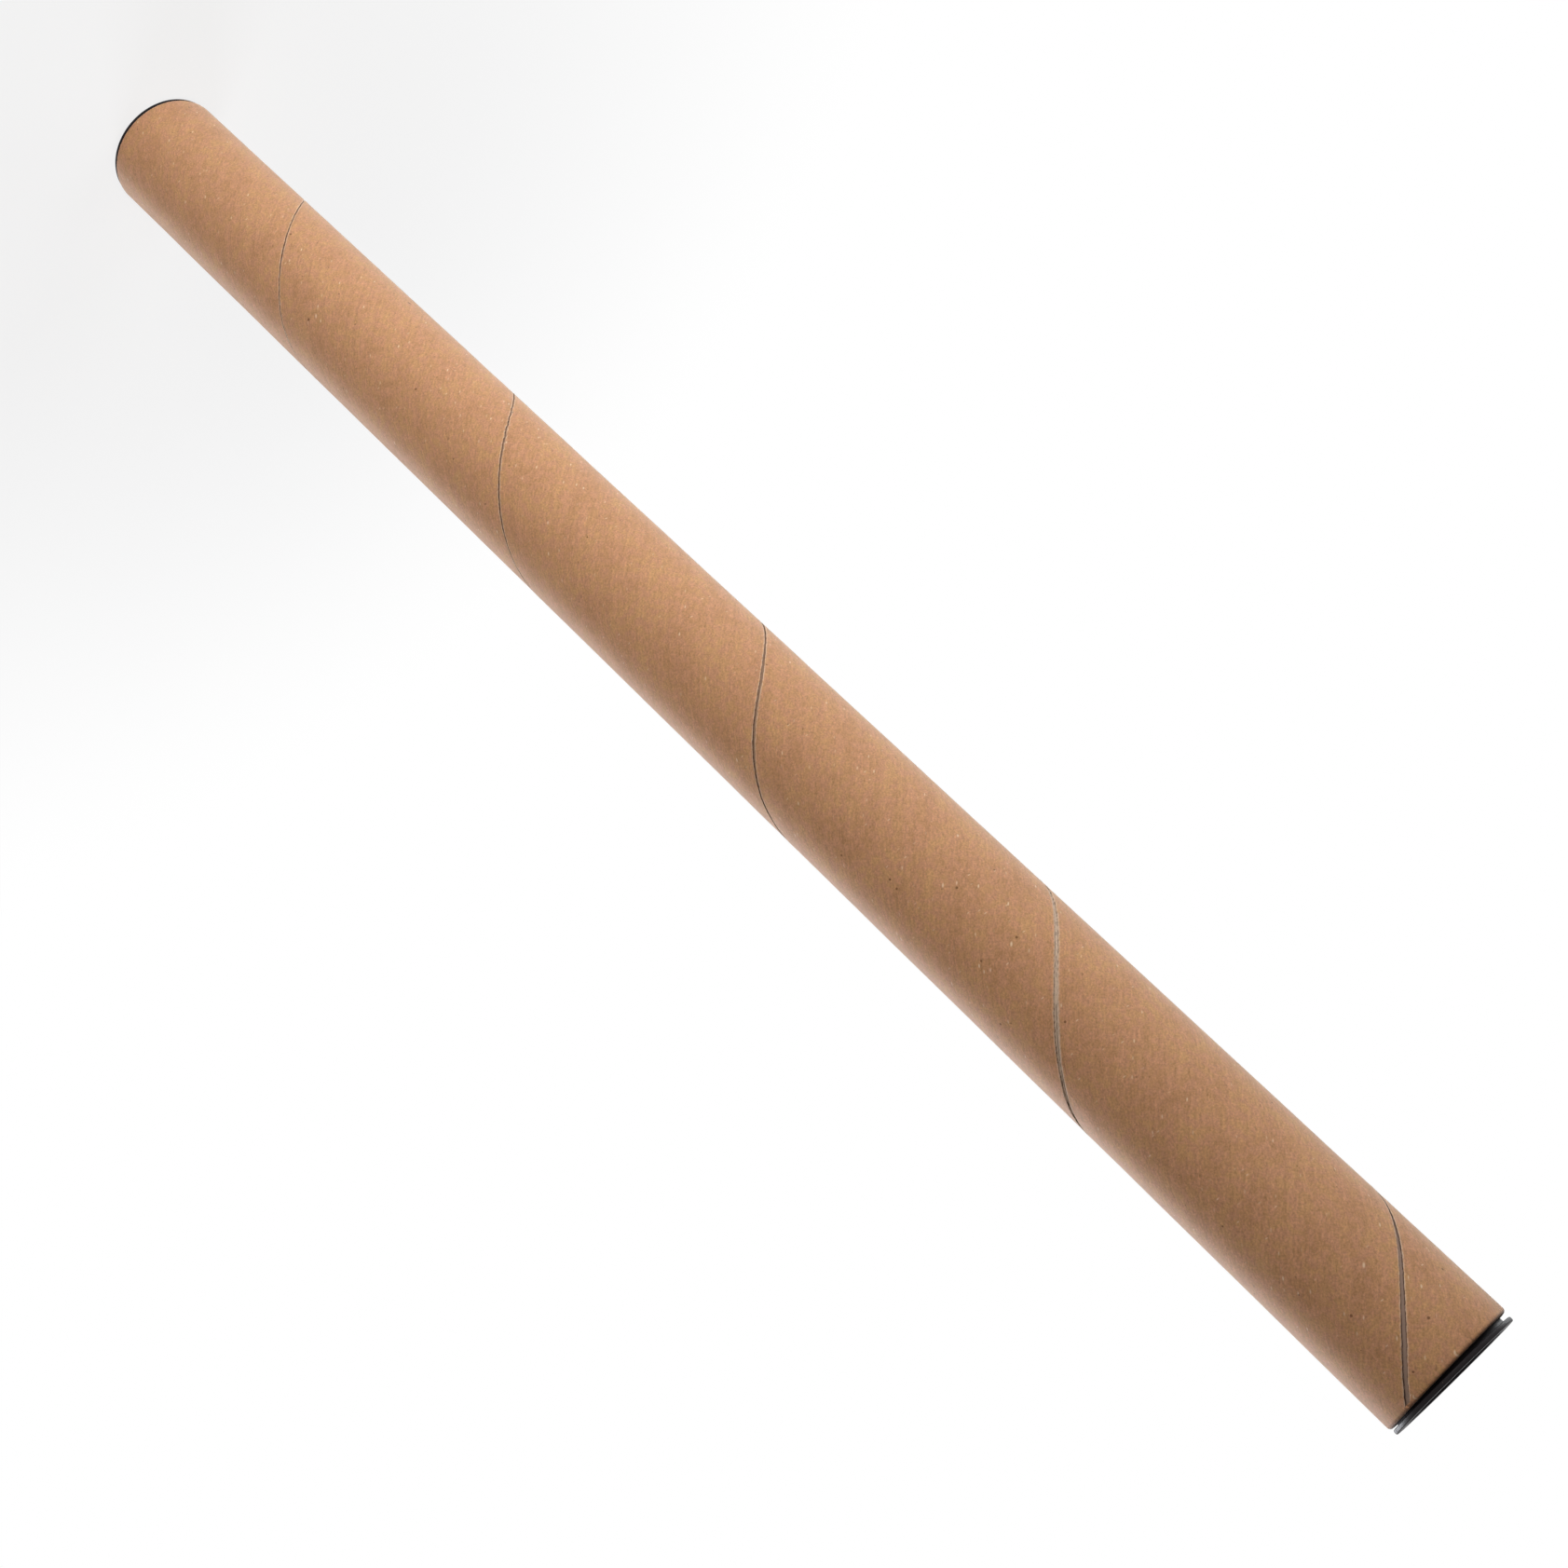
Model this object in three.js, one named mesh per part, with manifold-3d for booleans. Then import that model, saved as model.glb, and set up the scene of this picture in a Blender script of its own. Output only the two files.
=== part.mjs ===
// A paper mailing tube stood on its end: a spiral-wound kraft paper tube with a moulded push-in cap in each end.
// Millimetres. +Z runs up the tube, and the origin is on the floor, under the middle of the lower cap.
import * as THREE from "three";
import { mergeVertices } from "three/addons/utils/BufferGeometryUtils.js";
import Module from "manifold-3d";

// The tube: its cut length, its outside, its wall, and the slight blunting that a blade leaves on the paper's edges
const tubeLength = 450;
const tubeRadius = 16;
const tubeWall = 1.8;
const tubeEdgeEase = 0.15;

// The butt seam of the outer paper strip: a shallow helical gap, right-handed, as deep as that strip is thick
const seamPitch = 92.5;
const seamGap = 0.8;
const seamDepth = 0.35;
const seamHeightAtFront = 69.1;

// The caps: a flange that covers the tube's end, and a hollow plug, open outwards, that pushes into the bore
const flangeRadius = 15.6;
const flangeThickness = 1.0;
const flangeEdgeRound = 0.3;
const plugDepth = 12;
const plugClearance = 0.1;
const plugDraft = 0.35;
const plugWall = 1.1;
const plugFloor = 1.2;
const plugTipRound = 0.8;
const recessDraft = 0.2;
const recessMouthRound = 0.3;
const recessFloorRound = 0.6;

// The upper cap isn't pushed right home: it stands a little proud, and is cocked about Y
const upperCapGap = 0.36;
const upperCapTilt = THREE.MathUtils.degToRad(1.3);

// Round pieces share one number of facets, so that a plug's facets lie along the bore's
const facets = 64;
const roundSteps = 2;
const frontAngle = -Math.PI / 2;
const cutterOvershoot = 1;

const boreRadius = tubeRadius - tubeWall;

const kraftPaper = new THREE.MeshStandardMaterial({ color: 0xb99170, roughness: 0.85, metalness: 0 });
const blackPlastic = new THREE.MeshStandardMaterial({ color: 0x17171a, roughness: 0.45, metalness: 0 });

const wasm = await Module();
wasm.setup();

// A quarter turn of an outline: from the point at startAngle about (x, y), in roundSteps steps of equal angle
function quarterRound(x, y, radius, startAngle, turn) {
  return Array.from({ length: roundSteps + 1 }, (_, i) => {
    const angle = startAngle + (turn * (Math.PI / 2) * i) / roundSteps;
    return new THREE.Vector2(x + radius * Math.cos(angle), y + radius * Math.sin(angle));
  });
}

// A profile of (radius, height) points, turned about +Z
function turned(profile) {
  return new THREE.LatheGeometry(profile, facets).rotateX(Math.PI / 2);
}

// A closed geometry as a solid that can be cut
function solid(geometry) {
  const bare = geometry.clone();
  bare.deleteAttribute("normal");
  bare.deleteAttribute("uv");
  const merged = mergeVertices(bare, 1e-4);
  return new wasm.Manifold(
    new wasm.Mesh({
      numProp: 3,
      vertProperties: merged.getAttribute("position").array,
      triVerts: new Uint32Array(merged.index.array),
    }),
  );
}

// A solid as a geometry again
function geometryOf(made) {
  const { vertProperties, triVerts } = made.getMesh();
  const geometry = new THREE.BufferGeometry();
  geometry.setAttribute("position", new THREE.BufferAttribute(vertProperties, 3));
  geometry.setIndex(new THREE.BufferAttribute(triVerts, 1));
  geometry.computeVertexNormals();
  return geometry;
}

// The strip that is cut out along the seam: a long box wound round the tube, one step to each facet
function seamCutter() {
  const facetTurn = (2 * Math.PI) / facets;
  const risePerRadian = seamPitch / (2 * Math.PI);
  const helixAngle = Math.atan2(risePerRadian, tubeRadius);
  const gapAlongTube = seamGap / Math.cos(helixAngle);
  const angleAt = (height) => frontAngle + (height - seamHeightAtFront) / risePerRadian;
  const firstStep = Math.floor(angleAt(-cutterOvershoot - gapAlongTube) / facetTurn);
  const lastStep = Math.ceil(angleAt(tubeLength + cutterOvershoot + gapAlongTube) / facetTurn);
  const box = new THREE.BoxGeometry(1, 1, 1, 1, 1, lastStep - firstStep);
  const position = box.getAttribute("position");
  for (let i = 0; i < position.count; i += 1) {
    const step = firstStep + (position.getZ(i) + 0.5) * (lastStep - firstStep);
    const angle = Math.round(step) * facetTurn;
    const radius = position.getY(i) < 0 ? tubeRadius - seamDepth : tubeRadius + cutterOvershoot;
    const height = seamHeightAtFront + (angle - frontAngle) * risePerRadian + position.getX(i) * gapAlongTube;
    position.setXYZ(i, radius * Math.cos(angle), radius * Math.sin(angle), height);
  }
  return box;
}

// The tube: plies of kraft paper wound and glued on a mandrel, then cut to length, with the outer strip's seam
function tubeGeometry() {
  const profile = [
    new THREE.Vector2(boreRadius + tubeEdgeEase, 0),
    new THREE.Vector2(tubeRadius - tubeEdgeEase, 0),
    new THREE.Vector2(tubeRadius, tubeEdgeEase),
    new THREE.Vector2(tubeRadius, tubeLength - tubeEdgeEase),
    new THREE.Vector2(tubeRadius - tubeEdgeEase, tubeLength),
    new THREE.Vector2(boreRadius + tubeEdgeEase, tubeLength),
    new THREE.Vector2(boreRadius, tubeLength - tubeEdgeEase),
    new THREE.Vector2(boreRadius, tubeEdgeEase),
    new THREE.Vector2(boreRadius + tubeEdgeEase, 0),
  ];
  return geometryOf(solid(turned(profile)).subtract(solid(seamCutter())));
}

// A cap with its plug pointing down: height 0 is the flange's seat on the tube's end
function capGeometry() {
  const rootRadius = boreRadius - plugClearance;
  const tipRadius = rootRadius - plugDraft;
  const mouthRadius = rootRadius - plugWall;
  const floorRadius = mouthRadius - recessDraft;
  const floorHeight = plugFloor - plugDepth;
  const edge = flangeRadius - flangeEdgeRound;
  const profile = [
    new THREE.Vector2(0, -plugDepth),
    ...quarterRound(tipRadius - plugTipRound, plugTipRound - plugDepth, plugTipRound, -Math.PI / 2, 1),
    new THREE.Vector2(rootRadius, 0),
    ...quarterRound(edge, flangeEdgeRound, flangeEdgeRound, -Math.PI / 2, 1),
    ...quarterRound(edge, flangeThickness - flangeEdgeRound, flangeEdgeRound, 0, 1),
    ...quarterRound(
      mouthRadius + recessMouthRound,
      flangeThickness - recessMouthRound,
      recessMouthRound,
      Math.PI / 2,
      1,
    ),
    ...quarterRound(floorRadius - recessFloorRound, floorHeight + recessFloorRound, recessFloorRound, 0, -1),
    new THREE.Vector2(0, floorHeight),
  ];
  return turned(profile);
}

function mailingTube() {
  const lowerCap = new THREE.Mesh(capGeometry(), blackPlastic);
  lowerCap.name = "lower_cap";
  lowerCap.rotation.x = Math.PI;
  lowerCap.position.z = flangeThickness;

  const tube = new THREE.Mesh(tubeGeometry(), kraftPaper);
  tube.name = "tube";
  tube.position.z = flangeThickness;

  const upperCap = new THREE.Mesh(capGeometry(), blackPlastic);
  upperCap.name = "upper_cap";
  upperCap.rotation.y = upperCapTilt;
  upperCap.position.z =
    flangeThickness + tubeLength + upperCapGap + flangeRadius * Math.sin(upperCapTilt);

  const group = new THREE.Group();
  group.add(lowerCap, tube, upperCap);
  return group;
}

export default mailingTube();
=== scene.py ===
import math

import bmesh
import bpy
import numpy as np
from mathutils import Matrix, Vector


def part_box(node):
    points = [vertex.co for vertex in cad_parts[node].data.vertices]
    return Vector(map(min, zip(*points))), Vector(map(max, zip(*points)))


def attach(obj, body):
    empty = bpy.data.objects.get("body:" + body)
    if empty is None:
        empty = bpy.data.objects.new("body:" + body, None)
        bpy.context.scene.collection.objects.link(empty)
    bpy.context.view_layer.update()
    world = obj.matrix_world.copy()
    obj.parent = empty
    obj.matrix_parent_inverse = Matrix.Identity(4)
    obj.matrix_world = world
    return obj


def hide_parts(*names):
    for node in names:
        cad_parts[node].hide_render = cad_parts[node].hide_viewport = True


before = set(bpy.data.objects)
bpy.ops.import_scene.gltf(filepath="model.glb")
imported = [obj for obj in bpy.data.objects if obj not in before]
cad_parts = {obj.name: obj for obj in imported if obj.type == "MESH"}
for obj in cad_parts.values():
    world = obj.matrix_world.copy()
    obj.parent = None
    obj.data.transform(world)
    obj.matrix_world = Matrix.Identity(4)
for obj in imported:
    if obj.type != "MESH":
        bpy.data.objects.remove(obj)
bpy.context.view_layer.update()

# The paper tube: kraft strips wound round a mandrel in a right-handed spiral, glued into one wall and cut
# to length. The outer strip's edges butt together, so a seam of uneven width runs round the tube. The grey
# board of the strips beneath shows in the seam and on the cut ends.
mm = 0.001
tube_low, tube_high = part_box("tube")
outer_radius = tube_high.x
tube_wall = 1.8 * mm
bore_radius = outer_radius - tube_wall
rim_round = 0.8 * mm
bore_ease = 0.15 * mm
seam_pitch = 92.5 * mm
seam_height_at_front = tube_low.z + 69.1 * mm
seam_slope = seam_pitch / (2 * math.pi)
wind_angle = math.atan2(seam_slope, outer_radius)
strip_per_radian = outer_radius / math.cos(wind_angle)
front = -math.pi / 2
columns = 480
column_angles = np.arange(columns) * 2 * np.pi / columns


def uneven(at, waves, seed):
    """A smooth, irregular line: waves of those lengths and heights in millimetres, started by chance."""
    chance = np.random.default_rng(seed)
    return sum(
        height * mm * np.sin(2 * np.pi * (at / (length * mm) + chance.random())) for length, height in waves
    )


def swell(at, place, reach):
    """1 at that place along the strip, and fading to 0 on both sides of it."""
    return np.exp(-(((at - place) / reach) ** 2))


def seam_height(angle):
    return seam_height_at_front + (angle - front) * seam_slope


class Skin:
    """Grids of points in one mesh. A grid's columns run round a piece, and its rows from end to end."""

    far_from_edge = 9.0
    weld_reach = 0.001 * mm

    def __init__(self):
        self.points, self.faces, self.maps, self.edges, self.finishes = [], [], [], [], []
        self.count = 0

    def add(self, points, finish_of_row, paper=None, from_edge=None, turn_rows=0, turned_over=False):
        """turn_rows is how many rows the last column is shifted against the first, as on a screw.
        paper holds each point's place on the unrolled strip, and from_edge each row's distance from the
        strip's edge, both in millimetres."""
        column_count, row_count, _ = points.shape
        column, row = np.meshgrid(np.arange(column_count), np.arange(row_count - 1), indexing="ij")
        shift = np.where(column == column_count - 1, turn_rows, 0)
        beside = (column + 1) % column_count
        here, there = column * row_count + row, beside * row_count + row + shift
        has_neighbour = row + shift + 1 < row_count
        corners = np.stack([here, there, there + 1, here + 1], -1)[has_neighbour]
        finish = np.broadcast_to(finish_of_row, row.shape)[has_neighbour]
        flat = points.reshape(-1, 3)
        if turn_rows:
            # Past a cut end the rows lie on one another, and their faces have no height
            has_height = np.ptp(flat[corners][..., 2], axis=1) > 0
            corners, finish = corners[has_height], finish[has_height]
        if turned_over:
            corners = corners[:, ::-1]
        paper = np.zeros((len(flat), 2)) if paper is None else paper.reshape(-1, 2)
        from_edge = np.full(row_count, self.far_from_edge) if from_edge is None else from_edge
        edge = np.stack([np.tile(from_edge, column_count), np.zeros(len(flat))], -1)
        self.points.append(flat)
        self.faces.append(corners + self.count)
        self.maps.append(paper[corners].reshape(-1, 2))
        self.edges.append(edge[corners].reshape(-1, 2))
        self.finishes.append(finish)
        self.count += len(flat)

    def piece(self, name, finishes, sharp_angle):
        mesh = bpy.data.meshes.new(name)
        mesh.from_pydata(np.concatenate(self.points).tolist(), [], np.concatenate(self.faces).tolist())
        mesh.polygons.foreach_set("material_index", np.concatenate(self.finishes).astype(np.int32))
        for map_name, places in (("paper", self.maps), ("edge", self.edges)):
            flat_places = np.concatenate(places).ravel().astype(np.float32)
            mesh.uv_layers.new(name=map_name).data.foreach_set("uv", flat_places)
        made = bmesh.new()
        made.from_mesh(mesh)
        bmesh.ops.remove_doubles(made, verts=made.verts, dist=self.weld_reach)
        made.to_mesh(mesh)
        made.free()
        mesh.shade_smooth()
        mesh.set_sharp_from_angle(angle=sharp_angle)
        for finish in finishes:
            mesh.materials.append(finish)
        piece = bpy.data.objects.new(name, mesh)
        bpy.context.scene.collection.objects.link(piece)
        return piece


def round_points(angles, radii, heights):
    """Points at those angles, radii and heights: arrays of columns by rows, or what fits such an array."""
    angles, radii, heights = np.broadcast_arrays(angles, radii, heights)
    return np.stack([radii * np.cos(angles), radii * np.sin(angles), heights], -1)


def wound_sheet(edges, middle, shares, phase, ease):
    """One sheet of the wall: a strip wound so that its edges meet, cut off short of the ends by the ease.
    edges(angle, side) gives the points next to the seam, as distances from its middle, and their radii.
    middle(angle, shares) gives the radii between the edges, at those shares of the strip's width.
    Returns heights, radii and places on the strip, in arrays of columns by rows, and the rows in a turn."""
    lowest, highest = tube_low.z + ease, tube_high.z - ease
    first_turn = math.floor((tube_low.z - phase - seam_height(0)) / seam_pitch) - 1
    last_turn = math.ceil((tube_high.z - phase - seam_height(0)) / seam_pitch)
    wound_heights, radii, places = [], [], []
    for turn in range(first_turn, last_turn + 1):
        angle = column_angles[:, None] + 2 * np.pi * turn
        low_away, low_radii = edges(angle, 1)
        high_away, high_radii = edges(angle + 2 * np.pi, -1)
        low_away, high_away = low_away / math.cos(wind_angle), high_away / math.cos(wind_angle)
        away = np.hstack([low_away, seam_pitch * shares + 0 * angle, seam_pitch + high_away])
        seam = seam_height(angle) + phase
        above_seam = np.clip(seam + away, lowest, highest) - seam
        along = angle * strip_per_radian + above_seam * math.sin(wind_angle)
        places.append(np.stack([along / mm, above_seam * math.cos(wind_angle) / mm], -1))
        wound_heights.append(seam + away)
        radii.append(np.hstack([low_radii, middle(angle, shares), high_radii]))
    rows_in_turn = away.shape[1]
    wound_heights, radii = np.hstack(wound_heights), np.hstack(radii)
    heights = np.clip(wound_heights, lowest, highest)
    for column in range(columns):
        radii[column] = np.interp(heights[column], wound_heights[column], radii[column])
    return heights, radii, np.hstack(places), rows_in_turn


# Sizes of the seam, and of the liner's own seam in the bore, which runs nearly half a turn further on. The
# outer sheet is set in a little from the tube's full radius, to leave room for its lips and waves.
sheet_inset = 0.06 * mm
seam_depth = 0.36 * mm
lip_height = 0.03 * mm
half_gap_at_foot = 0.08 * mm
half_gap_growth = 0.38 * mm
narrowest_half_gap = 0.05 * mm
widest_half_gap = 0.62 * mm
liner_half_gap = 0.2 * mm
liner_depth = 0.2 * mm
liner_phase = 0.45 * seam_pitch

# How far the seam strays across from an even helix, at those places along the strip, in millimetres
places_and_strays = [
    (-39, 0.7), (-26, 0.3), (-17, -0.6), (-9, -1.2), (60, -0.3), (94, 0.3), (109, 0.5), (128, 0.6),
    (180, 1.0), (230, 1.4), (260, -0.1), (310, 0.6), (361, 1.2), (381, 1.6), (393, 1.6), (406, 0.5),
    (450, 0.9), (503, 0.4), (515, 0.6), (527, 0.3),
]
strays_at, strays = zip(*places_and_strays)

# Places along the strip where the seam's edges are torn, where it is wide and clean, and where it closes up
torn_at, torn_reach, torn_strength = 90 * mm, 6 * mm, 2.2
clean_at, clean_reach, clean_widening = 378 * mm, 26 * mm, 0.12 * mm
tight_at, tight_reach, tight_narrowing = 486 * mm, 10 * mm, 0.26 * mm

# Rows of points beside the seam, by their distance from the strip's edge in millimetres: one on the seam's
# floor, whose real distance grows with the gap, one at the foot of its wall, one at the wall's top, and three
# over the lip
from_outer_edge = [-0.12, 0, 0.03, 0.12, 0.35, 0.9]


def outer_edges(angle, side):
    """The outer strip's edge above (side 1) or below (side -1) the seam: a narrow gap at the tube's foot
    that opens towards its head, with ragged edges that stand up a little."""
    at = angle * strip_per_radian
    rise = np.clip((seam_height(angle) - tube_low.z) / (tube_high.z - tube_low.z), 0, 1)
    middle = np.interp(at / mm, strays_at, strays) * mm + uneven(at, [(37, 0.05)], 4)
    half_gap = half_gap_at_foot + half_gap_growth * rise**1.5 + uneven(at, [(47, 0.03), (19, 0.03)], 3)
    half_gap = half_gap + clean_widening * swell(at, clean_at, clean_reach)
    half_gap = half_gap - tight_narrowing * swell(at, tight_at, tight_reach)
    torn = 1 + torn_strength * swell(at, torn_at, torn_reach)
    rag = torn * uneven(at, [(4.3, 0.025), (1.9, 0.022), (0.95, 0.018)], 5 + side)
    gap = np.clip(half_gap + rag, narrowest_half_gap, widest_half_gap)
    lip = lip_height + uneven(at, [(23, 0.012), (7, 0.01), (2.3, 0.006)], 8 + side)
    away = [0.75 * gap, *(gap + distance * mm for distance in from_outer_edge[1:])]
    seam_floor = outer_radius - seam_depth + 0 * gap
    sheet = outer_radius - sheet_inset
    radius = [
        seam_floor + 0.005 * mm,
        seam_floor,
        sheet - 0.02 * mm + 0.6 * lip,
        sheet + lip,
        sheet + 0.6 * lip,
        sheet + 0.15 * lip,
    ]
    if side > 0:
        away.insert(0, 0 * gap)
        radius.insert(0, seam_floor + 0.015 * mm)
        return middle + np.hstack(away), np.hstack(radius)
    return middle - np.hstack(away[::-1]), np.hstack(radius[::-1])


def outer_middle(angle, shares):
    """The face of the outer strip, which isn't quite flat. Its waves run slanted over its width."""
    wave_shift = 300 * mm
    at = angle * outer_radius + wave_shift * shares
    return outer_radius - sheet_inset + uneven(at, [(61, 0.015), (33, 0.012), (14, 0.006)], 12)


def bore_edges(angle, side):
    """The edge of the liner, the innermost strip, above (side 1) or below (side -1) its own narrow seam."""
    gap = liner_half_gap + uneven(angle * bore_radius, [(29, 0.05), (6, 0.03)], 15 + side)
    away = np.hstack([gap, gap + 0.05 * mm, gap + 0.8 * mm])
    radius = bore_radius + np.hstack([liner_depth + 0 * gap, 0 * gap, 0 * gap])
    if side > 0:
        return away, radius
    return -away[:, ::-1], radius[:, ::-1]


def bore_middle(angle, shares):
    return np.full((len(angle), len(shares)), bore_radius)


# The places of the five finishes in the tube's list of them
KRAFT, BOARD, LINER, SEAM_FLOOR, PAPER_EDGE = range(5)

tube_skin = Skin()
outer_shares = np.array([0.04, 0.1, 0.22, 0.36, 0.5, 0.64, 0.78, 0.9, 0.96])
heights, radii, places, turn_rows = wound_sheet(outer_edges, outer_middle, outer_shares, 0, rim_round)
turns = heights.shape[1] // turn_rows
row_finish = np.full(turn_rows, KRAFT)
seam_floor_and_walls = [0, 1, 2, -3, -2, -1]
row_finish[seam_floor_and_walls] = SEAM_FLOOR
row_finish = np.tile(row_finish, turns)[:-1]
seam_middle = -1
strip_middle = np.full(len(outer_shares), Skin.far_from_edge)
row_edge = np.array([seam_middle, *from_outer_edge, *strip_middle, *from_outer_edge[::-1]])
outside = round_points(column_angles[:, None], radii, heights)
tube_skin.add(outside, row_finish, places, np.tile(row_edge, turns), turn_rows)
outer_rims = radii[:, 0], radii[:, -1]

liner_shares = np.array([0.1, 0.5, 0.9])
heights, radii, places, turn_rows = wound_sheet(
    bore_edges, bore_middle, liner_shares, liner_phase, bore_ease
)
row_finish = np.full(heights.shape[1] - 1, LINER)
inside = round_points(column_angles[:, None], radii, heights)
tube_skin.add(inside, row_finish, places, turn_rows=turn_rows, turned_over=True)
bore_rims = radii[:, 0], radii[:, -1]

# The tube's cut ends: a blade goes through the wound wall square across. Handling then blunts the outer
# corner, whose fibres fray, and the glue joints between the strips show as fine rings.
rim_steps = 5
strip_joints = outer_radius - np.array([0.92, 1.16, 1.4]) * mm
joint_groove = 0.04 * mm
bore_corner_out, bore_corner_down = 0.04 * mm, 0.05 * mm
around = column_angles * outer_radius


def strip_place(angle, height):
    """Where a point of the outside lies on the unrolled strip, in millimetres: along it, and across it."""
    turn = np.floor((height - seam_height(angle)) / seam_pitch)
    above_seam = height - seam_height(angle) - turn * seam_pitch
    along = (angle + 2 * np.pi * turn) * strip_per_radian + above_seam * math.sin(wind_angle)
    return np.stack([along / mm, above_seam * math.cos(wind_angle) / mm], -1)


for end, outer_rim, bore_rim in ((-1, outer_rims[0], bore_rims[0]), (1, outer_rims[1], bore_rims[1])):
    end_height = tube_high.z if end > 0 else tube_low.z
    fray = uneven(around, [(1.7, 0.014), (0.83, 0.014), (5, 0.012)], 20 + end)
    rings = []
    for step in range(rim_steps + 1):
        turned = math.radians(90 * step / rim_steps)
        loose = fray * math.sin(2 * turned)
        ring_radius = outer_rim - rim_round * (1 - math.cos(turned)) + loose
        rings.append((ring_radius, rim_round * (1 - math.sin(turned))))
    for joint in strip_joints:
        wander = joint + uneven(around, [(50, 0.03), (11, 0.012)], 21)
        rings += [(wander + joint_groove, 0), (wander, joint_groove), (wander - joint_groove, 0)]
    rings.append((bore_rim + bore_ease, 0))
    rings.append((bore_rim + bore_corner_out, bore_corner_down))
    rings.append((bore_rim, bore_ease))
    ring_radii = np.stack([np.broadcast_to(radius, (columns,)) for radius, _ in rings], -1)
    ring_heights = end_height - end * np.array([depth for _, depth in rings])
    finish = np.full(len(rings) - 1, BOARD)
    finish[: rim_steps - 1] = KRAFT
    finish[rim_steps - 1] = PAPER_EDGE
    angles = column_angles[:, None] + 0 * ring_heights
    from_rim = rim_round + (outer_rim[:, None] - ring_radii)
    rim_places = strip_place(angles, end_height - end * from_rim)
    tube_skin.add(round_points(angles, ring_radii, ring_heights), finish, rim_places, turned_over=end < 0)


class Amount:
    """A number that varies over a surface. A sum or product of it, and the like, adds its Math node."""

    def __init__(self, nodes, socket):
        self.nodes, self.socket = nodes, socket

    def maths(self, operation, first, second):
        return self.nodes.node("ShaderNodeMath", {"operation": operation}, {0: first, 1: second})

    def __add__(self, other):
        return self.maths("ADD", self, other)

    def __radd__(self, other):
        return self.maths("ADD", other, self)

    def __sub__(self, other):
        return self.maths("SUBTRACT", self, other)

    def __rsub__(self, other):
        return self.maths("SUBTRACT", other, self)

    def __mul__(self, other):
        return self.maths("MULTIPLY", self, other)

    def __rmul__(self, other):
        return self.maths("MULTIPLY", other, self)

    def __gt__(self, other):
        return self.maths("GREATER_THAN", self, other)

    def ramp(self, low, high):
        """0 at low and 1 at high, smooth between. low may be above high."""
        sockets = {0: self, 1: low, 2: high, 3: 0.0, 4: 1.0}
        return self.nodes.node("ShaderNodeMapRange", {"interpolation_type": "SMOOTHSTEP"}, sockets)


class Nodes:
    """A node tree, and how nodes are added to it."""

    def __init__(self, tree):
        self.tree = tree

    def node(self, kind, settings, sockets, output=0):
        node = self.tree.nodes.new(kind)
        for name, value in settings.items():
            setattr(node, name, value)
        for socket, value in sockets.items():
            if isinstance(value, Amount):
                self.tree.links.new(value.socket, node.inputs[socket])
            else:
                node.inputs[socket].default_value = value
        return Amount(self, node.outputs[output])

    def white_to_the_eye(self):
        """1 where the surroundings are seen, also in gloss or through glass, and 0 where they light."""
        rays = ("Camera", "Glossy", "Transmission")
        seen = [self.node("ShaderNodeLightPath", {}, {}, f"Is {ray} Ray") for ray in rays]
        return seen[0] + seen[1] + seen[2]


class Finish(Nodes):
    """A material: a Principled shader and the nodes that feed it."""

    def __init__(self, name, **constants):
        self.material = bpy.data.materials.new(name)
        self.material.use_nodes = True
        super().__init__(self.material.node_tree)
        self.shader = self.tree.nodes["Principled BSDF"]
        for socket, value in constants.items():
            self.shader.inputs[socket.replace("_", " ")].default_value = value

    def feed(self, socket, value):
        self.tree.links.new(value.socket, self.shader.inputs[socket])

    def vector(self, x, y):
        return self.node("ShaderNodeCombineXYZ", {}, {0: x, 1: y, 2: 0.0})

    def axes(self, vector):
        return [self.node("ShaderNodeSeparateXYZ", {}, {0: vector}, axis) for axis in range(3)]

    def noise(self, vector, scale, detail=2.0, roughness=0.5):
        """About 0.5 on the whole, between 0 and 1. scale is how many patches fit in a unit of the vector."""
        sockets = {"Vector": vector, "Scale": scale, "Detail": detail, "Roughness": roughness}
        return self.node("ShaderNodeTexNoise", {}, sockets)

    def cells(self, vector, scale):
        """Points strewn over the surface: the distance to the nearest, and numbers of its own by chance."""
        settings, sockets = {"feature": "F1"}, {"Vector": vector, "Scale": scale}
        distance = self.node("ShaderNodeTexVoronoi", settings, sockets, 0)
        colour = self.node("ShaderNodeTexVoronoi", settings, sockets, 1)
        return distance, self.axes(colour)

    def distance(self, vector, place):
        return self.node("ShaderNodeVectorMath", {"operation": "DISTANCE"}, {0: vector, 1: place}, 1)

    def mix(self, share, first, second):
        """From the first colour at 0 to the second at 1."""
        return self.node("ShaderNodeMix", {"data_type": "RGBA"}, {0: share, 6: first, 7: second}, 2)

    def scaled(self, colour, amount):
        return self.node("ShaderNodeVectorMath", {"operation": "SCALE"}, {0: colour, "Scale": amount})

    def bump(self, height, distance):
        return self.node("ShaderNodeBump", {}, {"Height": height, "Distance": distance})


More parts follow.
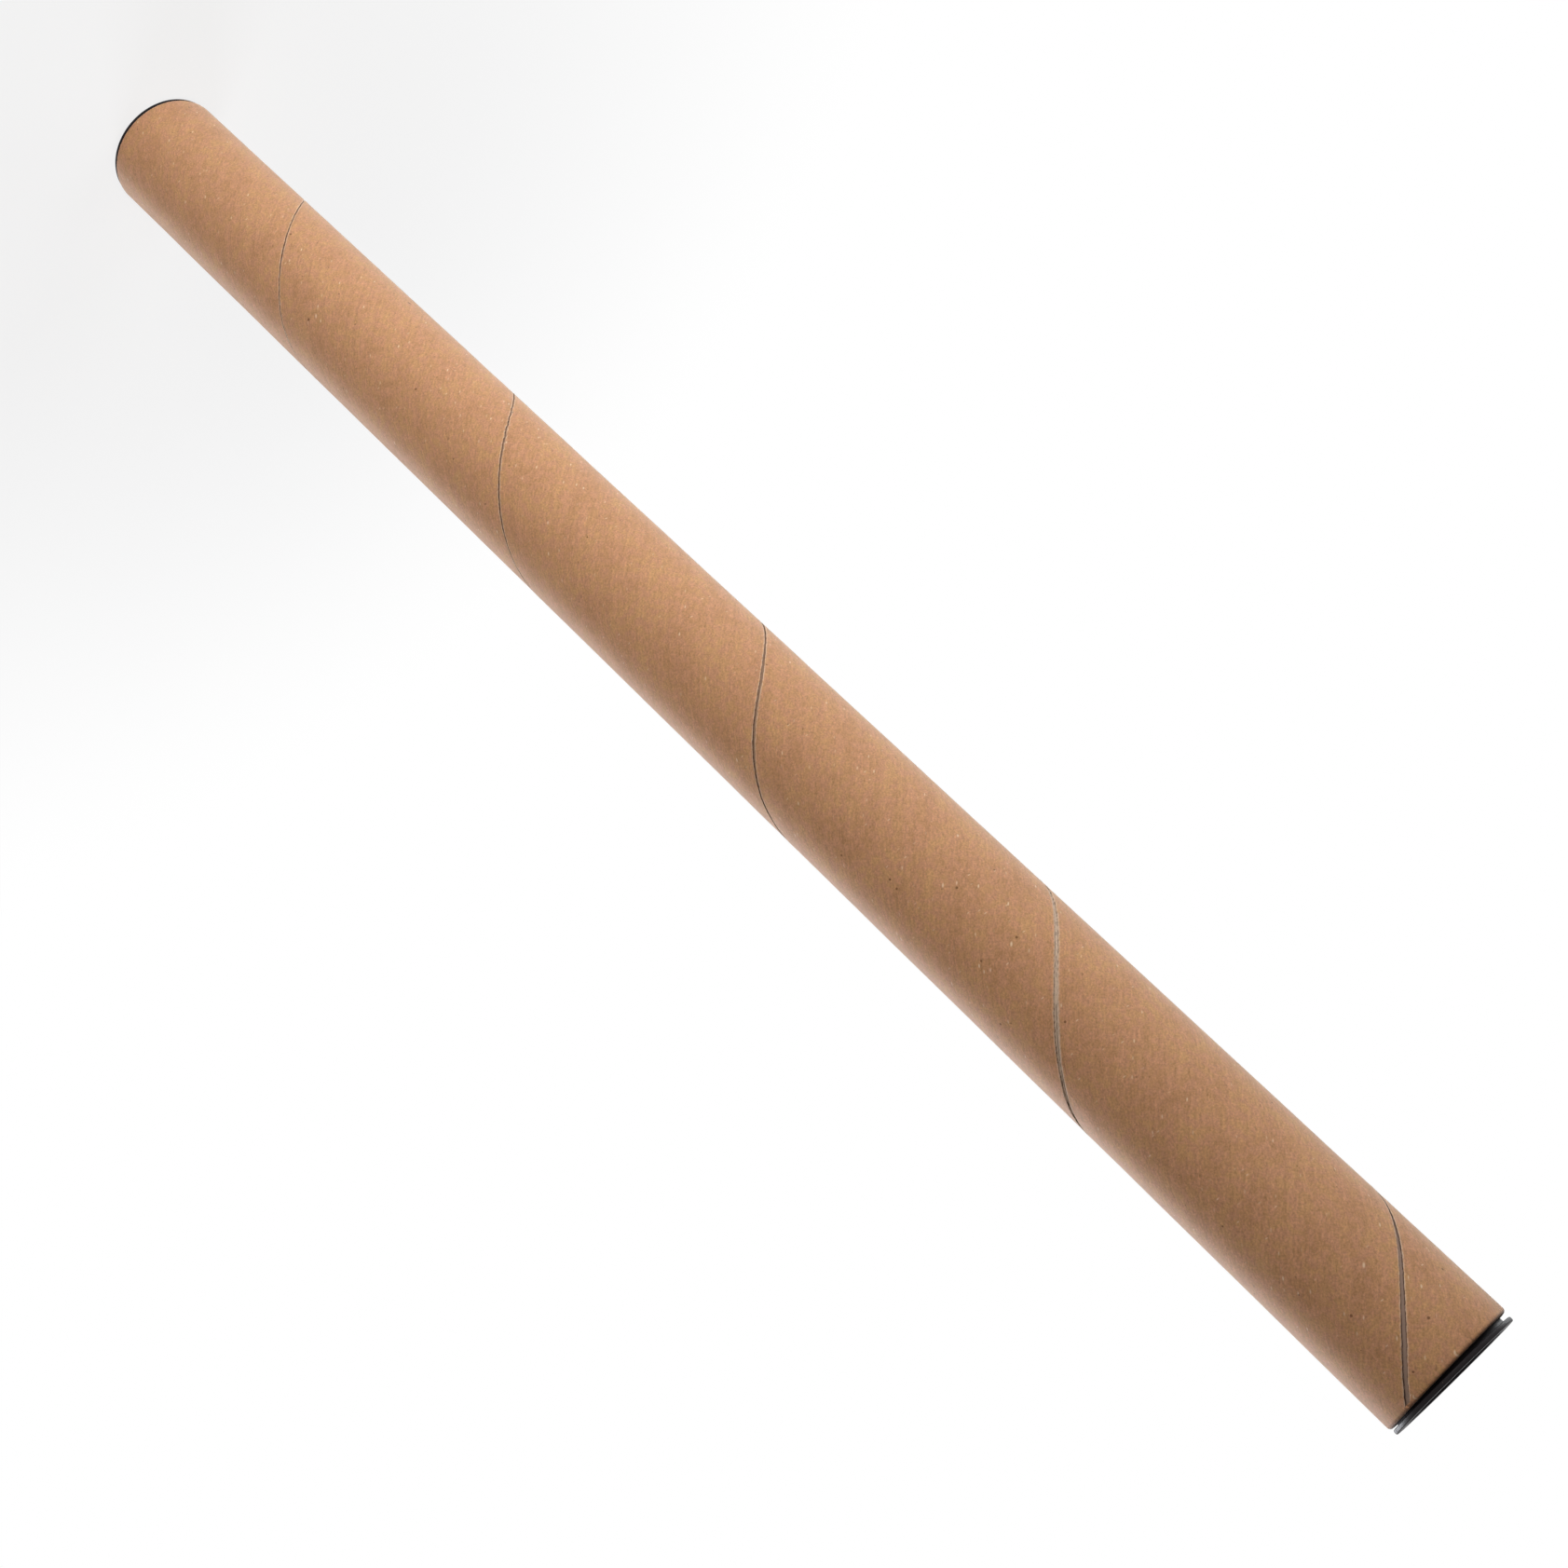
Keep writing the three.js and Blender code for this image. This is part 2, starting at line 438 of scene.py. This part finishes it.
# The specks and flecks that stand out on the front, in millimetres: their places along the strip and across
# it, and their radii
dark_specks = [
    (-42, 1.5, 0.4), (-26, 36, 0.55), (-16.5, 10, 0.5), (6, 43.5, 0.4), (37, 64, 0.3), (84.5, 0.5, 0.4),
    (272.5, 21, 0.3), (278, 33, 0.35), (280, 34.5, 0.35), (280, 48, 0.4), (290.5, 61, 0.4),
    (295.5, 53.5, 0.3), (382, 3.5, 0.35), (437, 59, 0.4), (510.5, 5, 0.4), (520.5, 2, 0.3),
]
pale_flecks = [
    (-19.5, 13, 0.35), (-17, 12.5, 0.5), (-15.5, 14, 0.4), (-6.5, 37, 0.4), (14.5, 64, 0.35),
    (91.5, 0.5, 0.4), (95.5, 1, 0.35), (107, 21.5, 0.4), (115.5, 0.5, 0.4), (267, 47.5, 0.4),
    (279.5, 45, 0.45), (291.5, 32.5, 0.4), (292, 60, 0.5), (296.5, 53, 0.4), (427.5, 61.5, 0.5),
    (431, 46, 0.4), (504.5, 4, 0.4), (516.5, 9.5, 0.4),
]

# The flecks are drawn out along the strip: this share as wide as they are long
fleck_width_share = 0.45


def kraft_finish():
    """Kraft paper: mottled tan, streaked along the strip, with pale fibres and dark specks. Beside the seam
    it
    is paler over the raised lip: partly wear, partly a painted highlight.
    """
    deep_tan = (0.505, 0.268, 0.138, 1)
    light_tan = (0.57, 0.32, 0.155, 1)
    ruddy_tan = (0.565, 0.296, 0.172, 1)
    pale_fibre = (0.83, 0.64, 0.45, 1)
    brown_speck = (0.13, 0.055, 0.028, 1)
    # Paler paper beside the seam: partly frayed, worn paper, partly a painted highlight on the raised lip
    worn_and_highlit_paper = (0.78, 0.61, 0.47, 1)
    kraft = Finish("kraft_paper", Specular_IOR_Level=0.12, Sheen_Weight=0.42, Sheen_Roughness=0.4)
    along, across, _ = kraft.axes(kraft.node("ShaderNodeUVMap", {"uv_map": "paper"}, {}))
    strip = kraft.vector(along, across)
    drawn_out = kraft.vector(along * fleck_width_share, across)
    slanted = kraft.vector(along * 0.75 + across * 0.62, across * 0.28 - along * 0.22)

    patches = kraft.noise(strip, 0.11, 3.0)
    mottle = kraft.noise(strip, 0.42, 4.0, 0.6)
    streaks = kraft.noise(kraft.vector(along * 0.06, across), 0.8, 3.0, 0.6)
    fibres = kraft.noise(kraft.vector(along * 0.36, across), 1.8, 5.0, 0.68)
    grain = kraft.noise(strip, 2.2, 4.0, 0.68)

    colour = kraft.mix(patches.ramp(0.32, 0.68), deep_tan, light_tan)
    colour = kraft.mix(mottle.ramp(0.4, 0.62), colour, ruddy_tan)
    tone = 1.0 + 0.3 * (streaks - 0.5) + 0.85 * (fibres - 0.5) + 1.15 * (grain - 0.5)
    colour = kraft.scaled(colour, tone)

    near, (chance, _, _) = kraft.cells(kraft.vector(along * 0.34, across), 0.8)
    pale = near.ramp(0.18, 0.05) * chance.ramp(0.5, 1.0) * 0.85
    near, (chance, _, _) = kraft.cells(slanted, 0.9)
    pale = pale + near.ramp(0.16, 0.05) * chance.ramp(0.6, 1.0) * 0.65
    for place_along, place_across, radius in pale_flecks:
        from_fleck = kraft.distance(drawn_out, (place_along * fleck_width_share, place_across, 0))
        pale = pale + 0.75 * from_fleck.ramp(0.7 * radius, 0.2 * radius)
    colour = kraft.mix(pale, colour, pale_fibre)

    near, (chance, size, _) = kraft.cells(strip, 0.32)
    specks = (size * 0.075 + 0.035 - near).ramp(0.0, 0.03) * chance.ramp(0.45, 0.95)
    near, (chance, _, _) = kraft.cells(kraft.vector(along * 0.5, across), 0.5)
    specks = specks * 0.8 + near.ramp(0.14, 0.05) * chance.ramp(0.7, 1.0) * 0.45
    for place_along, place_across, radius in dark_specks:
        from_speck = kraft.distance(strip, (place_along, place_across, 0))
        specks = specks + 0.75 * from_speck.ramp(radius, 0.5 * radius)
    colour = kraft.mix(specks, colour, brown_speck)

    from_edge, _, _ = kraft.axes(kraft.node("ShaderNodeUVMap", {"uv_map": "edge"}, {}))
    # Partly wear and partly painted highlight: paler paper over the raised lip beside the seam, where the
    # frayed edge is pale and the lip catches light
    wear_and_lip_highlight = from_edge.ramp(0.4, 0.08) * (0.25 + 0.75 * kraft.noise(strip, 0.9, 3.0).ramp(0.35, 0.6))
    colour = kraft.mix(wear_and_lip_highlight * 0.6, colour, worn_and_highlit_paper)
    kraft.feed("Base Color", colour)

    kraft.feed("Roughness", 0.6 + 0.2 * fibres + 0.1 * mottle)
    relief = fibres * 0.8 + grain * 0.6 + mottle * 0.8 + pale * 0.35 - specks * 0.2
    kraft.feed("Normal", kraft.bump(relief, 0.07 * mm))
    return kraft.material


def board_finish(name, base, dark, light):
    """Cut or inner board: grey-brown recycled fibre, rougher and flatter in colour than the kraft."""
    board = Finish(name, Specular_IOR_Level=0.25)
    place = board.node("ShaderNodeTexCoord", {}, {}, "Object")
    fibre = board.noise(place, 2400.0, 4.0, 0.65)
    clumps = board.noise(place, 420.0, 3.0)
    colour = board.mix(fibre.ramp(0.3, 0.7), dark, light)
    colour = board.mix(clumps.ramp(0.35, 0.65) * 0.5, colour, base)
    board.feed("Base Color", colour)
    board.feed("Roughness", 0.82 + 0.15 * fibre)
    board.feed("Normal", board.bump(fibre + 0.5 * clumps, 0.08 * mm))
    return board.material


def seam_floor_finish():
    """What shows in the seam: bare grey board, with painted shade at the foot of its walls and on them, and
    cleaner for a stretch, with dark pits along its middle there. The strip's two edges are a turn apart where
    they meet. lag makes up for that, so that a place along the strip, in millimetres, is the same on both
    sides of the seam."""
    brown_board = (0.34, 0.22, 0.15, 1)
    grey_board = (0.36, 0.25, 0.2, 1)
    clean_board = (0.64, 0.49, 0.38, 1)
    # One dark colour serves both the pits along the middle of the clean stretch and the painted shade at the
    # walls
    dark_pits_and_wall_shade = (0.06, 0.036, 0.026, 1)
    bare = Finish("seam_floor", Specular_IOR_Level=0.2)
    along, across, _ = bare.axes(bare.node("ShaderNodeUVMap", {"uv_map": "paper"}, {}))
    from_edge, _, _ = bare.axes(bare.node("ShaderNodeUVMap", {"uv_map": "edge"}, {}))
    one_turn = 2 * math.pi * strip_per_radian
    lag = (one_turn - seam_pitch * math.sin(wind_angle)) / (seam_pitch * math.cos(wind_angle))
    at = along + across * lag
    clean = at.ramp(335.0, 352.0) * at.ramp(425.0, 400.0)
    dotted = at.ramp(374.0, 388.0)
    near_head = at.ramp(455.0, 480.0)

    dashes = bare.noise(bare.vector(at * 0.5, from_edge), 1.3, 3.0, 0.7)
    # Painted shade: the floor darkens towards the foot of the seam's walls, and the walls are dark, where the
    # groove shades them. The dashes break it up, and it grows towards the head.
    painted_wall_shade = from_edge.ramp(-0.45, -0.05) * (dashes + 0.08 * near_head).ramp(0.42, 0.62)
    pits = from_edge.ramp(-0.6, -0.95) * clean * (dashes + 0.16 * dotted).ramp(0.5, 0.58)
    colour = bare.mix(near_head, brown_board, grey_board)
    colour = bare.mix(clean, colour, clean_board)
    # The pits and the painted wall shade darken the floor
    colour = bare.mix(painted_wall_shade * 0.75 + pits * 0.85, colour, dark_pits_and_wall_shade)
    bare.feed("Base Color", colour)
    bare.feed("Roughness", 0.85 + 0.1 * dashes)
    bare.feed("Normal", bare.bump(dashes, 0.1 * mm))
    return bare.material


core_board = board_finish(
    "core_board", base=(0.36, 0.285, 0.225, 1), dark=(0.25, 0.185, 0.14, 1), light=(0.47, 0.38, 0.3, 1)
)
bore_liner = board_finish(
    "bore_liner", base=(0.42, 0.28, 0.175, 1), dark=(0.36, 0.23, 0.14, 1), light=(0.5, 0.34, 0.22, 1)
)
paper_edge = board_finish(
    "paper_edge", base=(0.58, 0.43, 0.31, 1), dark=(0.46, 0.31, 0.21, 1), light=(0.7, 0.55, 0.42, 1)
)
finishes = [kraft_finish(), core_board, bore_liner, seam_floor_finish(), paper_edge]
tube = tube_skin.piece("paper_tube", finishes, sharp_angle=math.radians(38))
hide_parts("tube")
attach(tube, "tube")

# The end caps: black low-density polyethylene, each injection-moulded in one shot as a flange and a hollow
# plug that is open outwards. They hold by friction alone. The lower one is pushed home and bears the tube.
cap_low, cap_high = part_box("lower_cap")
flange_radius = cap_high.x
flange_thickness = 1.0 * mm
flange_round = 0.3 * mm
plug_depth = cap_high.z - cap_low.z - flange_thickness
plug_clearance = 0.1 * mm
plug_draft = 0.35 * mm
plug_wall = 1.1 * mm
plug_floor = 1.2 * mm
plug_tip_round = 0.8 * mm
recess_draft = 0.2 * mm
recess_mouth_round = 0.3 * mm
recess_floor_round = 0.6 * mm
plug_root_radius = bore_radius - plug_clearance
plug_tip_radius = plug_root_radius - plug_draft
recess_mouth_radius = plug_root_radius - plug_wall
recess_floor_radius = recess_mouth_radius - recess_draft
recess_floor_height = plug_floor - plug_depth
centre_hole = 0.01 * mm
cap_segments = 192

# Corners of the fillet at the plug's root, out from the plug and up from the flange's seat, and of the raised
# mark where the mould was filled, out from the axis and up from the recess's floor, in millimetres
root_fillet = [(0, -0.12), (0.06, -0.02), (0.2, 0)]
filling_mark = [(1.35, 0), (1.1, 0.1), (0.95, 0.25), (0.01, 0.25)]


def rounded(radius, height, round_radius, start, turn, steps=6):
    """A quarter round of a profile, about that radius and height. start is in degrees, turn is 1 or -1."""
    angles = np.radians(start + turn * 90 * np.arange(steps + 1) / steps)
    return [(radius + round_radius * np.cos(a), height + round_radius * np.sin(a)) for a in angles]


def cap_profile():
    """Radii and heights from the middle of the plug's tip, round the flange, to the middle of the recess.
    They stop just short of the axis, and the small holes left there are filled afterwards."""
    edge = flange_radius - flange_round
    tip = plug_tip_radius - plug_tip_round
    mouth = recess_mouth_radius + recess_mouth_round
    recess_corner = recess_floor_radius - recess_floor_round
    return [
        (centre_hole, -plug_depth),
        *rounded(tip, plug_tip_round - plug_depth, plug_tip_round, -90, 1),
        *((plug_root_radius + out * mm, up * mm) for out, up in root_fillet),
        *rounded(edge, flange_round, flange_round, -90, 1),
        *rounded(edge, flange_thickness - flange_round, flange_round, 0, 1),
        *rounded(mouth, flange_thickness - recess_mouth_round, recess_mouth_round, 90, 1),
        *rounded(recess_corner, recess_floor_height + recess_floor_round, recess_floor_round, 0, -1),
        *((out * mm, recess_floor_height + up * mm) for out, up in filling_mark),
    ]


def plastic_finish():
    """Moulded black plastic: a fine matt texture from the mould, faint scuffs, and a little paper dust."""
    deep_black = (0.011, 0.0085, 0.01, 1)
    scuffed_black = (0.025, 0.02, 0.023, 1)
    paper_dust = (0.32, 0.26, 0.2, 1)
    plastic = Finish("black_plastic", Specular_IOR_Level=0.12)
    place = plastic.node("ShaderNodeTexCoord", {}, {}, "Object")
    texture = plastic.noise(place, 2600.0, 3.0)
    scuffs = plastic.noise(place, 260.0, 5.0, 0.7)
    near, (chance, _, _) = plastic.cells(place, 420.0)
    dust = near.ramp(0.09, 0.04) * (chance > 0.93)
    colour = plastic.mix(scuffs.ramp(0.5, 0.75) * 0.5, deep_black, scuffed_black)
    plastic.feed("Base Color", plastic.mix(dust * 0.6, colour, paper_dust))
    plastic.feed("Roughness", 0.34 + 0.12 * texture + 0.14 * scuffs.ramp(0.4, 0.7) + dust * 0.3)
    plastic.feed("Normal", plastic.bump(texture * 0.5 + scuffs, 0.03 * mm))
    return plastic.material


def cap_piece(name, place):
    profile = np.array(cap_profile())
    angles = np.arange(cap_segments)[:, None] * 2 * np.pi / cap_segments
    skin = Skin()
    skin.add(round_points(angles, profile[:, 0], profile[:, 1]), np.zeros(len(profile) - 1, int))
    cap = skin.piece(name, [black_plastic], sharp_angle=math.radians(50))
    made = bmesh.new()
    made.from_mesh(cap.data)
    bmesh.ops.holes_fill(made, edges=[edge for edge in made.edges if edge.is_boundary], sides=0)
    made.to_mesh(cap.data)
    made.free()
    cap.data.transform(place)
    return cap


black_plastic = plastic_finish()
seated = Matrix.Translation((0, 0, cap_low.z + flange_thickness)) @ Matrix.Rotation(math.pi, 4, "X")
lower_cap = cap_piece("foot_cap", seated)
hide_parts("lower_cap")
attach(lower_cap, "lower_cap")

# The upper cap: the same black moulding, pushed into the tube's head by hand. It isn't right home, so it
# stands a little proud of the rim, and leans.
upper_cap_gap = 0.36 * mm
upper_cap_tilt = math.radians(1.3)
upper_cap_height = tube_high.z + upper_cap_gap + flange_radius * math.sin(upper_cap_tilt)
cocked = Matrix.Translation((0, 0, upper_cap_height)) @ Matrix.Rotation(upper_cap_tilt, 4, "Y")
upper_cap = cap_piece("head_cap", cocked)
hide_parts("upper_cap")
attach(upper_cap, "upper_cap")

# The floor: a wide, flat white sheet under the tube. It keeps a soft shadow near the tube, and further out
# it is plain white to the eye.
floor_reach = 3.0
shadow_near, shadow_far, shadow_share = 0.05, 0.3, 0.2
corners = [(x * floor_reach, y * floor_reach, 0) for x, y in ((-1, -1), (1, -1), (1, 1), (-1, 1))]
floor_mesh = bpy.data.meshes.new("floor")
floor_mesh.from_pydata(corners, [], [(0, 1, 2, 3)])
floor = bpy.data.objects.new("floor", floor_mesh)
bpy.context.scene.collection.objects.link(floor)
floor_white = Finish("floor_white", Base_Color=(0.8, 0.8, 0.8, 1), Roughness=0.9, Specular_IOR_Level=0.1)
floor_place = floor_white.node("ShaderNodeTexCoord", {}, {}, "Object")
away_from_tube = floor_white.distance(floor_place, (0, 0, 0)).ramp(shadow_near, shadow_far)
plain = floor_white.white_to_the_eye() * (1 - shadow_share + shadow_share * away_from_tube)
lit = Amount(floor_white, floor_white.shader.outputs[0])
glow = floor_white.node("ShaderNodeEmission", {}, {"Color": (1, 1, 1, 1), "Strength": 1.0})
blend = floor_white.node("ShaderNodeMixShader", {}, {0: plain, 1: lit, 2: glow})
floor_white.tree.links.new(blend.socket, floor_white.tree.nodes["Material Output"].inputs[0])
floor_mesh.materials.append(floor_white.material)

# Soft studio light: a dim room, white to the eye, and four large lamps set low, so that the tube's foot is
# brighter than its head: a strong one behind on the right, one in front, and two on the left.
world = bpy.data.worlds.new("room")
bpy.context.scene.world = world
world.use_nodes = True
room = Nodes(world.node_tree)
dim = Amount(room, room.tree.nodes["Background"].outputs[0])
room.tree.nodes["Background"].inputs[0].default_value = (0.075, 0.068, 0.062, 1)
white = room.node("ShaderNodeBackground", {}, {0: (1, 1, 1, 1)})
room_light = room.node("ShaderNodeMixShader", {}, {0: room.white_to_the_eye(), 1: dim, 2: white})
room.tree.links.new(room_light.socket, room.tree.nodes["World Output"].inputs[0])


def soft_lamp(name, place, aim_height, size, power, colour):
    """A rectangular lamp, turned towards a height on the tube's axis. Its power is in watts."""
    lamp = bpy.data.lights.new(name, "AREA")
    lamp.shape = "RECTANGLE"
    lamp.size, lamp.size_y = size
    lamp.energy = power
    lamp.color = colour
    holder = bpy.data.objects.new(name, lamp)
    turn = (Vector((0, 0, aim_height)) - Vector(place)).to_track_quat("-Z", "Y")
    holder.matrix_world = Matrix.Translation(place) @ turn.to_matrix().to_4x4()
    bpy.context.scene.collection.objects.link(holder)


soft_lamp("right_back_lamp", (0.7, 0.6, 0.2), 0.2, (0.5, 0.6), 10.5, (0.96, 0.99, 1.06))
soft_lamp("left_back_lamp", (-0.7, 0.6, 0.15), 0.2, (0.5, 0.6), 3.6, (0.94, 0.98, 1.0))
soft_lamp("left_lamp", (-0.5, -0.07, 0.13), 0.12, (0.3, 0.3), 1.6, (0.94, 0.98, 1.0))
soft_lamp("front_lamp", (-0.1, -0.55, 0.05), 0.12, (0.3, 0.25), 2.6, (1.0, 0.95, 0.88))

# The camera: a pinhole fitted to the tube's sides and rims in the photograph. It stands a little above the
# tube's head, looks down the front, and is rolled, so that the tube runs from corner to corner.
camera_data = bpy.data.cameras.new("camera")
camera_data.sensor_width = 36
camera_data.lens = 49.19
camera_data.clip_start = 0.01
camera = bpy.data.objects.new("camera", camera_data)
camera_distance = 27.658 * outer_radius
camera_above_head = 0.6145 * outer_radius
camera_place = Vector((0, -camera_distance, tube_high.z + camera_above_head))
camera_right = Vector((-0.68924, 0.30121, 0.65895))
camera_up = Vector((-0.72437, -0.26735, -0.63546))
camera_back = camera_right.cross(camera_up)
camera_turn = Matrix((camera_right, camera_up, camera_back)).transposed()
camera.matrix_world = Matrix.Translation(camera_place) @ camera_turn.to_4x4()
bpy.context.scene.collection.objects.link(camera)
bpy.context.scene.camera = camera
bpy.context.scene.view_settings.view_transform = "Standard"
